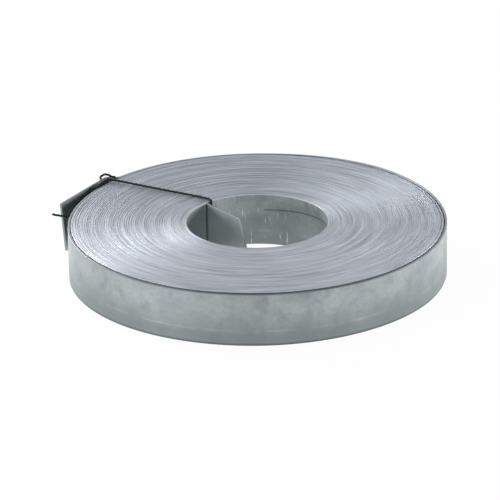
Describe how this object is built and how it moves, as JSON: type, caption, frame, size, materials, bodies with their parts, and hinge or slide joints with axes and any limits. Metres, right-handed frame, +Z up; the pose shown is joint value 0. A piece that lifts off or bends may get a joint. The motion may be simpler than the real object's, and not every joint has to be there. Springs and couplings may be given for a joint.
{
  "type": "tension band roll",
  "caption": "Flat roll of galvanised steel tension band with a folded inner end and a cranked outer end, tied across one side with a twisted black annealed wire",
  "frame": {"origin": "the middle of the coil: on its axis, half way up the width of the band", "axes": "+Z up as the roll lies on a floor, +X to the right and -Y towards the viewer of the picture"},
  "size_m": [0.1847, 0.1773, 0.0294],
  "materials": {
    "galvanised_band": "dull galvanised zinc with clouded patches and bare slit edges",
    "annealed_wire": "black oxide of annealed steel wire, slightly oily"
  },
  "bodies": {
    "root": {"band_coil": "galvanised_band", "tie_wire": "annealed_wire"}
  },
  "joints": []
}
